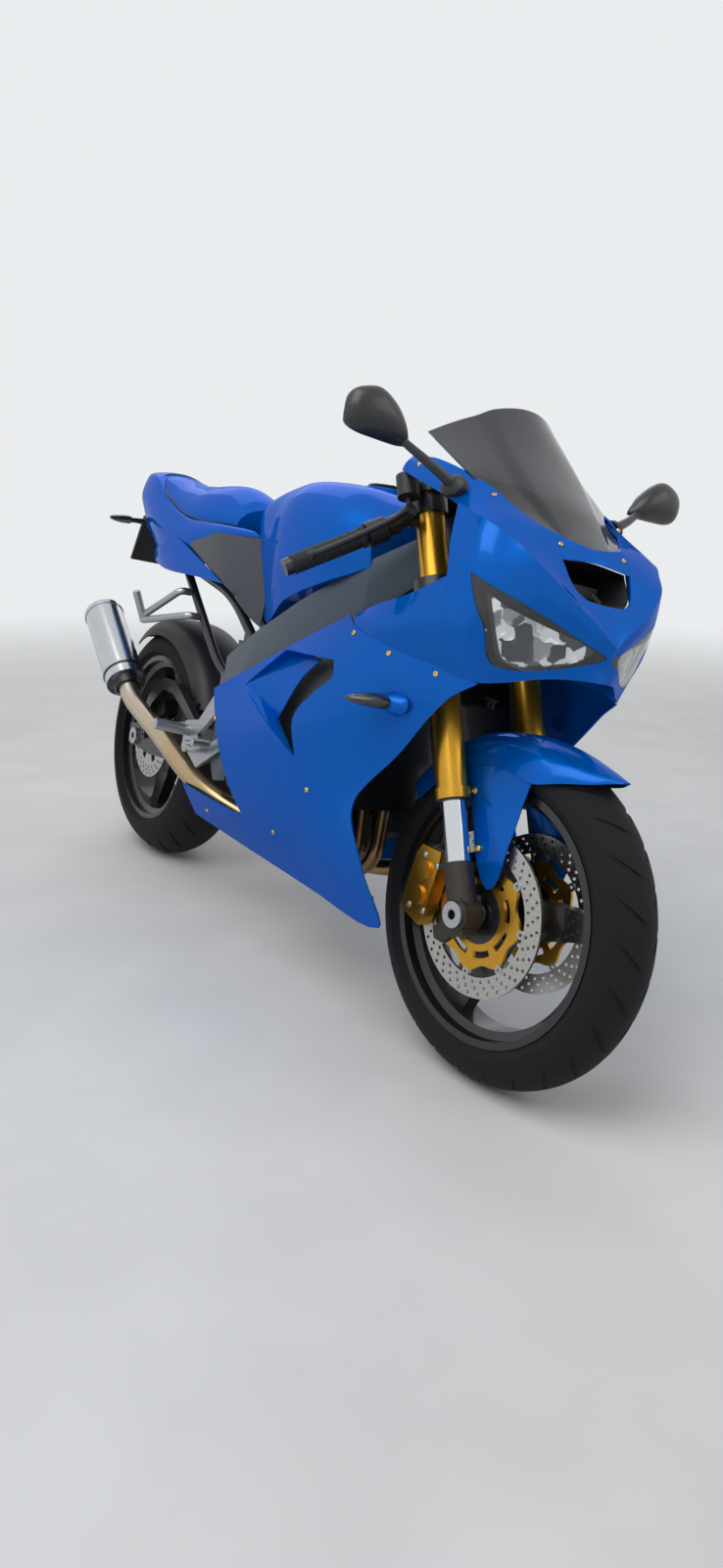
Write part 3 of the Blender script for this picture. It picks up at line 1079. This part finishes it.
def tyre(name, sizes, mat, hub):
    """A tyre on a sheared grid, whose columns follow the grooves so that these cut in cleanly."""
    r, crown, bead, half, pitches = sizes
    arc = [(crown * math.sin(a), r - crown + crown * math.cos(a))
           for a in (math.radians(-84 + 168 * j / 40) for j in range(41))]
    profile = [(13 - half, bead), (3.6 - half, bead), (2.6 - half, bead + 9)]
    profile += arc + [(half - 2.6, bead + 9), (half - 3.6, bead), (half - 13, bead)]
    profile += [(y, q - 9) for y, q in arc[::-1][4:-4:2]]
    wide = crown * math.sin(math.radians(84))
    share = [0.0, 0.012, 0.135, 0.147] + [0.147 + 0.853 * (k + 1) / 9 for k in range(8)]
    rows = []
    for i in range(pitches):
        for c, s in enumerate(share):
            row = []
            for j, (y, q) in enumerate(profile):
                v = abs(y) / wide
                on_tread = 3 <= j < 44
                lean = 0.9 * v ** 1.4 if on_tread or j > 46 else 0.9
                a = math.tau / pitches * (i + s + lean)
                grooved = c in ((1, 2) if y < 0 else (6, 7))
                if on_tread and grooved and 0.1 < v < 0.86:
                    q -= GROOVE_DEEP * min(1.0, (v - 0.1) / 0.12, (0.86 - v) / 0.2)
                row.append((q * math.cos(a), y, q * math.sin(a)))
            rows.append(row)
    verts, faces = quads(rows + [rows[0]], closed=True)
    return piece(name, verts, faces, mat, hub, 32)


for name, (sizes, hub, body) in TYRES.items():
    tread = tyre(name + "_tread", sizes, rubber, hub)
    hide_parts(name)
    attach(tread, body)

# Wheels: cast aluminium with three wide spokes, turning on steel axles that clamp in the fork feet
# and the swingarm. Semi-gloss black paint shows the rim as one soft line of light.
wheel_black, tree, shader = finish_of("black_wheel_paint", "#131417", 0.1, 0.3, Coat_Weight=0.4)
vary(tree, shader, grain(tree, shader, 0.003, 0.00005), 0.26, 0.4, ("#101114", "#191a1e"))
dress(wheel_black, "front_rim", "rear_rim")
dress(zinc, "front_axle", "rear_axle")

# Brake discs: two steel rings drilled in three staggered rows, floating on buttons at the lobes of
# gold anodised carriers with curved slots, bolted to the front hub; at the rear one smaller plate.
# Ground steel: fine scratches blur its reflections.
rotor, tree, shader = finish_of("ground_brake_steel", "#b4b2ae", 1.0, 0.26)
scratches = embossed(tree, shader, "ShaderNodeTexNoise", {"Scale": 700.0, "Detail": 3.0}, 0, 0.25, 0.0001)
vary(tree, shader, scratches.outputs[0], 0.2, 0.36, ("#a8a6a2", "#c2c0bb"))
# Gold anodising: a warm metal, lightly mottled by its grain, with a soft highlight.
gold, tree, shader = finish_of("gold_anodised_aluminium", "#c8952e", 0.95, 0.3)
vary(tree, shader, grain(tree, shader, 0.0009, 0.00002, 3.0), 0.22, 0.38, ("#c08a22", "#d6a742"))
DISC_R, DISC_INNER, DISC_THICK, DISC_Y = 140, 105, 5, 66.0
HOLE_RINGS, HOLE_R, HOLES = (112.5, 122.5, 132.5), 3.1, 36
SLOTS, LOBE_R, LOBE_RISE, BUTTON_RING = 8, 91.5, 6, 0.1008


def circle(x, y, r, n):
    """The outline of a circle of radius r as n points."""
    return [(x + r * math.cos(math.tau * i / n), y + r * math.sin(math.tau * i / n)) for i in range(n)]


drilled = [circle(0, 0, DISC_INNER, 72)]
for row, r in enumerate(HOLE_RINGS):
    for i in range(HOLES):
        a = math.tau * (i + row / 3) / HOLES
        drilled.append(circle(r * math.cos(a), r * math.sin(a), HOLE_R, 10))
slots = [circle(0, 0, 33, 40)]
for i in range(SLOTS):
    a = math.tau * (i + 0.5) / SLOTS
    bend = [a + 0.27 * k / 6 for k in range(-6, 7)]
    slots.append(rounded([(62 * math.cos(b), 62 * math.sin(b)) for b in bend]
                         + [(73 * math.cos(b), 73 * math.sin(b)) for b in bend[::-1]], 2))
lobes = []
for i in range(144):
    a = math.tau * i / 144
    r = LOBE_R + LOBE_RISE * math.cos(SLOTS * a)
    lobes.append((r * math.cos(a), r * math.sin(a)))
discs = []


def plate(name, outline, holes, thick, mat, where, at):
    """A flat plate square to the axle with real holes; its middle plane lies at y = at."""
    points, faces = filled(outline, holes, 30.0)
    obj = piece(name, [(x, at, z) for x, z in points], faces, mat, where, 30)
    return walled(obj, thick, 0.0)


for flip in (1, -1):
    y = flip * DISC_Y
    discs.append(plate("rotor", circle(0, 0, DISC_R, 120), drilled, DISC_THICK, rotor, FRONT_HUB, y))
    discs.append(plate("carrier", lobes, slots, 5.5, gold, FRONT_HUB, y))
    discs.append(turned("boss", [(y - 3.4, 32), (y - 3.4, 50), (y + 3.4, 50), (y + 3.4, 32)],
                        black_coat, FRONT_HUB, 64))
    for i in range(SLOTS):
        a = math.tau * i / SLOTS
        spot = Matrix.Translation((BUTTON_RING * math.cos(a), 0, BUTTON_RING * math.sin(a)))
        discs.append(turned("button", [(y - 3.6, 3), (y - 3.6, 7.6), (y + 3.6, 7.6), (y + 3.6, 3)],
                            zinc, FRONT_HUB @ spot, 24))
front_pair = joined("front_brake_discs", discs)
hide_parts("front_discs")
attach(front_pair, "front_wheel")
BACK_R, BACK_RINGS, BACK_HOLES, BACK_Y = 110, (84, 93, 102), 26, -76.8
holes = [circle(0, 0, 30, 40)]
for row, r in enumerate(BACK_RINGS):
    for i in range(BACK_HOLES):
        a = math.tau * (i + row / 3) / BACK_HOLES
        holes.append(circle(r * math.cos(a), r * math.sin(a), 3.2, 10))


def around_slot(r0, r1, a, wide0, wide1):
    """A radial slot's outline between two radii, centred on an angle."""
    out = []
    for r, d in ((r0, -wide0), (r1, -wide1), (r1, wide1), (r0, wide0)):
        out.append((r * math.cos(a) - d * math.sin(a), r * math.sin(a) + d * math.cos(a)))
    return rounded(out, 4)


for i in range(6):
    holes.append(around_slot(44, 68, math.tau * i / 6, 6, 10))
back_disc = plate("rear_brake_disc", circle(0, 0, BACK_R, 100), holes, DISC_THICK, rotor, REAR_HUB, BACK_Y)
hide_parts("rear_disc")
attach(back_disc, "rear_wheel")

# Drive chain and sprocket: a roller chain of 15.9 mm pitch, pressed together from links whose side
# plates are pinched between their two pins, round a steel sprocket bolted to the rear wheel.
# Oiled steel: brownish and darker than bare metal, with a broken greasy sheen.
chain_steel, tree, shader = finish_of("oiled_chain_steel", "#6d675d", 1.0, 0.38)
vary(tree, shader, grain(tree, shader, 0.0015, 0.00004), 0.3, 0.5, ("#5c564d", "#7a746a"))
dress(chain_steel, "rear_sprocket")
GEAR_X, GEAR_Z, GEAR_R = 640.0, 408.0, 36.0
REAR_R, CHAIN_Y, TWO_LINKS = 104.0, 103, 31.75
span = math.hypot(GEAR_X, GEAR_Z - REAR_AXLE_Z)
tilt = math.atan2(GEAR_Z - REAR_AXLE_Z, GEAR_X)
wrap = math.asin((REAR_R - GEAR_R) / span)
straight = span * math.cos(wrap)
arcs = [straight, (math.pi + 2 * wrap) * REAR_R, straight, (math.pi - 2 * wrap) * GEAR_R]
PITCH = sum(arcs) / (2 * round(sum(arcs) / TWO_LINKS))
eight = rounded([(-13, 0), (-10.5, 5), (-7.9, 5.9), (-4, 4.6), (0, 4.1), (4, 4.6), (7.9, 5.9), (10.5, 5),
                 (13, 0), (10.5, -5), (7.9, -5.9), (4, -4.6), (0, -4.1), (-4, -4.6), (-7.9, -5.9),
                 (-10.5, -5)], 2)
UNIT = Matrix.Identity(4)
link_parts = {}
for kind, (inner, outer) in (("outer_link", (5.2, 7.0)), ("inner_link", (3.3, 5.1))):
    plates = [prism("side", eight, s * inner, s * outer, chain_steel, "y", UNIT) for s in (-1, 1)]
    reach = 8.0 if kind == "outer_link" else 3.3
    size = 2.4 if kind == "outer_link" else 4.8
    pins = [turned("pin", [(-reach, 0.1), (-reach, size), (reach, size), (reach, 0.1)], chain_steel,
                   Matrix.Translation((s * PITCH / 2000, 0, 0)), 14) for s in (-1, 1)]
    link_parts[kind] = joined(kind, plates + pins)
links = []


def chain_point(s):
    """The place (x, z) of the pin line at a length along the loop, which runs backwards on top."""
    up, down = tilt + math.pi / 2 - wrap, tilt - math.pi / 2 + wrap
    for k, run in enumerate(arcs):
        if s <= run or k == 3:
            break
        s -= run
    if k == 0:
        x, z, way = GEAR_X + GEAR_R * math.cos(up), GEAR_Z + GEAR_R * math.sin(up), up + math.pi / 2
        return x + s * math.cos(way), z + s * math.sin(way)
    if k == 2:
        x, z, way = REAR_R * math.cos(down), REAR_AXLE_Z + REAR_R * math.sin(down), down + math.pi / 2
        return x + s * math.cos(way), z + s * math.sin(way)
    if k == 1:
        a = up + s / REAR_R
        return REAR_R * math.cos(a), REAR_AXLE_Z + REAR_R * math.sin(a)
    a = down + s / GEAR_R
    return GEAR_X + GEAR_R * math.cos(a), GEAR_Z + GEAR_R * math.sin(a)


for kind, first in (("outer_link", 0), ("inner_link", 1)):
    places = []
    for i in range(first, round(sum(arcs) / PITCH), 2):
        xa, za = chain_point(i * PITCH)
        xb, zb = chain_point(((i + 1) * PITCH) % sum(arcs))
        way = math.atan2(zb - za, xb - xa)
        spin = REST.to_3x3().to_4x4() @ Matrix.Rotation(-way, 4, "Y")
        middle = Vector(((xa + xb) / 2, CHAIN_Y, (za + zb) / 2))
        places.append((REST @ (middle / 1000), spin, 1.0))
    links.append(strewn(kind + "s", link_parts[kind], places, chain_steel))
chain = joined("chain_links", links)
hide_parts("drive_chain")
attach(chain, "chassis")
for obj in link_parts.values():
    bpy.data.objects.remove(obj)

# Fork: upside-down, with gold anodised outer tubes clamped in the yokes, steel sliders under a
# black seal, and cast feet whose lugs carry the calipers.
# Hard chrome mirrors like dark glass; the feet's bronze-grey paint is dull and rough from casting.
dress(gold, "fork_tubes")
bronze, tree, shader = finish_of("bronze_grey_cast_paint", "#3d3a36", 0.6, 0.42)
vary(tree, shader, grain(tree, shader, 0.0018, 0.0001), 0.34, 0.52, ("#35322e", "#47433e"))
dress(bronze, "fork_legs")
slider_chrome, tree, shader = finish_of("hard_chromed_slider", "#d9dcdf", 1.0, 0.06)
vary(tree, shader, grain(tree, shader, 0.02, 0.00001), 0.04, 0.1)
FORK_HALF = 0.104
SLIDER = [(87, 18), (87, 20.9), (192.5, 20.9), (192.5, 18)]
WIPER = [(190, 20.9), (190, 27), (194, 29), (194, 20.9)]
sliders = []
for flip in (1, -1):
    leg = FORK @ Matrix.Translation((0, flip * FORK_HALF, 0)) @ UPRIGHT
    sliders.append(turned("slider", SLIDER, slider_chrome, leg, 48))
    sliders.append(turned("seal", WIPER, black_plastic, leg, 48))
slider_pair = joined("fork_sliders", sliders)
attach(slider_pair, "steering")

# Calipers: two cast halves bolted together over each front disc, with round piston caps and four
# bolts in each body, and a small black one at the rear. Gold anodising keeps a warm metal sheen.
dress(gold, "front_calipers")
dress(black_coat, "rear_caliper")
BOLT_Y, BODY_BOLTS = 0.1, ((104, 148), (140, 152), (104, 196), (142, 192))
caliper_bolts = []
for flip in (1, -1):
    for r, angle in BODY_BOLTS:
        a = math.radians(angle)
        spot = Vector((r * math.cos(a) / 1000, flip * BOLT_Y, r * math.sin(a) / 1000))
        caliper_bolts.append((FRONT_HUB @ spot, normal_of(FRONT_HUB, (0, flip, 0)), 0.011))
caliper_screws = strewn("caliper_bolts", socket_screw, caliper_bolts, zinc)
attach(caliper_screws, "steering")

# Handlebars: forged clip-ons clamped to the fork tubes, with levers and switch pods and with
# grips, ribbed round, pushed on. Grip rubber: matt black, with fine nubs that scatter the light.
rubber_black, tree, shader = finish_of("black_grip_rubber", "#161718", 0.0, 0.7)
knurl = embossed(tree, shader, "ShaderNodeTexVoronoi", {"Scale": 420.0}, "Distance", 0.6, 0.0006)
vary(tree, shader, knurl.outputs["Distance"], 0.6, 0.8)
dress(black_coat, "clip_ons")
dress(black_plastic, "control_levers")
GRIP_START, GRIP_LONG, GRIP_R, RIB, COLLAR = 131, 140, 16.9, 0.7, 2.2
grips = []


def bar_point(along, flip):
    """A point on a handlebar's axis in the fork's frame, at a distance from the fork leg."""
    drop, sweep = math.radians(22), math.radians(30)
    return (-along * math.cos(drop) * math.sin(sweep),
            flip * (104 + along * math.cos(drop) * math.cos(sweep)), 716 - along * math.sin(drop))


for flip in (1, -1):
    steps = [GRIP_START + GRIP_LONG * k / 56 for k in range(57)]
    radii = [GRIP_R + (RIB if (k // 2) % 2 else 0) + (COLLAR if k < 3 else 0) for k in range(57)]
    grips.append(tubular([bar_point(s, flip) for s in steps], radii, rubber_black, "grip", FORK, 32))
grip_pair = joined("handlebar_grips", grips)
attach(grip_pair, "steering")

# Brake hoses: moulded rubber hoses down the fork legs, held at each caliper by a banjo bolt. They
# are as matt as the grips, and the zinc of the bolt is a small bright point.
dress(rubber_black, "brake_hoses")
banjos = strewn("banjo_bolts", socket_screw, [
    (FORK @ Vector((-0.066, flip * 0.0835, 0.1215)), normal_of(FORK, (-0.4, flip * 0.6, 0.7)), 0.013)
    for flip in (1, -1)], zinc)
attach(banjos, "steering")

# Footrests and hangers: forged aluminium plates bolted to the frame, with a peg and a toe lever
# each. Bead blasting leaves the bare metal pale and soft, without any clear reflection.
bare_alloy, tree, shader = finish_of("bead_blasted_aluminium", "#a9acb0", 1.0, 0.36)
vary(tree, shader, grain(tree, shader, 0.0009, 0.00006, 4.0), 0.3, 0.46, ("#9da0a4", "#b5b8bb"))
dress(bare_alloy, "footrests")

# Shock absorber: a coil spring of steel wire round a damper, pinned between the frame and the
# swingarm behind the engine. Smooth black paint gives each turn of the coil a thin highlight.
coil_paint, tree, shader = finish_of("black_coil_spring_paint", "#1b1c1f", 0.2, 0.35)
vary(tree, shader, grain(tree, shader, 0.002, 0.00003), 0.3, 0.42)
dress(coil_paint, "shock_absorber")
TURNS, COIL_R, WIRE_R = 6.5, 29, 5.2
DAMPER, DAMPER_R = [(480, 0, 326), (496, 0, 412), (511, 0, 494)], 17
coil_line = []
for k in range(160):
    f = k / 159
    a = math.tau * TURNS * f
    coil_line.append((482 + 27 * f + COIL_R * math.cos(a), COIL_R * math.sin(a),
                      338 + 145 * f - 0.18 * COIL_R * math.cos(a)))
coil = joined("shock_coil", [tubular(coil_line, WIRE_R, coil_paint, "spring", REST, 12),
                             tubular(DAMPER, DAMPER_R, coil_paint, "damper", REST, 32)])
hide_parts("shock_absorber")
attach(coil, "chassis")

# Floor: a pale painted studio floor under the parked machine, matt and faintly clouded. It fades
# into the surround between FADE_FROM and FADE_TO metres, so that no horizon shows.
floor_mat, tree, shader = finish_of("pale_studio_floor", "#e3e4e5", 0.0, 0.7)
vary(tree, shader, grain(tree, shader, 0.3, 0.0, 3.0), 0.62, 0.76, ("#dfe0e1", "#e6e7e8"))
place = add(tree, "ShaderNodeTexCoord").outputs["Object"]
reach = add(tree, "ShaderNodeVectorMath", {0: place}, operation="LENGTH")
FADE_FROM, FADE_TO = 2.2, 7.0
fade = add(tree, "ShaderNodeMapRange", {"Value": reach.outputs["Value"], "From Min": FADE_FROM,
                                        "From Max": FADE_TO}, interpolation_type="SMOOTHSTEP")
glow = add(tree, "ShaderNodeEmission", {"Color": (0.96, 0.98, 1.0, 1.0), "Strength": 0.86})
both = add(tree, "ShaderNodeMixShader", {0: fade.outputs[0], 1: shader.outputs[0], 2: glow.outputs[0]})
tree.links.new(both.outputs[0], tree.nodes["Material Output"].inputs["Surface"])
floor_mesh = bpy.data.meshes.new("studio_floor")
floor_mesh.from_pydata([(-9, -9, 0), (9, -9, 0), (9, 9, 0), (-9, 9, 0)], [], [(0, 1, 2, 3)])
floor_mesh.materials.append(floor_mat)
floor = bpy.data.objects.new("studio_floor", floor_mesh)
bpy.context.scene.collection.objects.link(floor)

# Light: a broad soft key above the machine's right, weaker ones at the left front and behind, and
# a pale surround that the camera, metal and glass see brighter than it lights the rest.
world = bpy.data.worlds.new("studio")
bpy.context.scene.world = world
world.use_nodes = True
wall_light = world.node_tree.nodes["Background"]
path = add(world.node_tree, "ShaderNodeLightPath")
seen = add(world.node_tree, "ShaderNodeMath", {0: path.outputs["Is Camera Ray"],
                                               1: path.outputs["Is Glossy Ray"]}, operation="MAXIMUM")
seen = add(world.node_tree, "ShaderNodeMath", {0: seen.outputs[0], 1: path.outputs["Is Transmission Ray"]},
           operation="MAXIMUM")
LIT, SEEN = 0.34, 0.86
pale = add(world.node_tree, "ShaderNodeMapRange", {"Value": seen.outputs[0], "To Min": LIT, "To Max": SEEN})
wall_light.inputs["Color"].default_value = (0.96, 0.98, 1.0, 1.0)
world.node_tree.links.new(pale.outputs[0], wall_light.inputs["Strength"])
LAMPS = (("key", (0.8, -2.2, 4.2), 3.6, 105), ("side", (3.4, 2.2, 2.6), 2.4, 22),
         ("back", (-3.0, 1.6, 3.2), 2.8, 26))
for name, spot, size, power in LAMPS:
    data = bpy.data.lights.new(name, "AREA")
    data.energy, data.size = power, size
    lamp = bpy.data.objects.new(name, data)
    lamp.location = spot
    lamp.rotation_euler = (Vector((0, 0, 0.5)) - Vector(spot)).to_track_quat("-Z", "Y").to_euler()
    bpy.context.scene.collection.objects.link(lamp)
bpy.context.scene.view_settings.view_transform = "Standard"

# Camera: about a metre up, off the machine's front right, and near enough for a strong
# perspective; it looks down by 15 degrees and is rolled by one.
camera_data = bpy.data.cameras.new("camera")
camera_data.lens, camera_data.sensor_width = 23.785, 36.0
camera = bpy.data.objects.new("camera", camera_data)
bpy.context.scene.collection.objects.link(camera)
yaw, pitch, roll = math.radians(146.49), math.radians(15.49), math.radians(-1.13)
look = Vector((math.cos(pitch) * math.cos(yaw), math.cos(pitch) * math.sin(yaw), -math.sin(pitch)))
right = look.cross(Vector((0, 0, 1))).normalized()
above = right.cross(look)
spin = Matrix.Rotation(roll, 3, look)
right, above = spin @ right, spin @ above
camera.matrix_world = Matrix.Translation((1.989, -1.266, 0.972)) @ Matrix(
    (right, above, -look)).transposed().to_4x4()
bpy.context.scene.camera = camera
bpy.data.objects.remove(socket_screw)
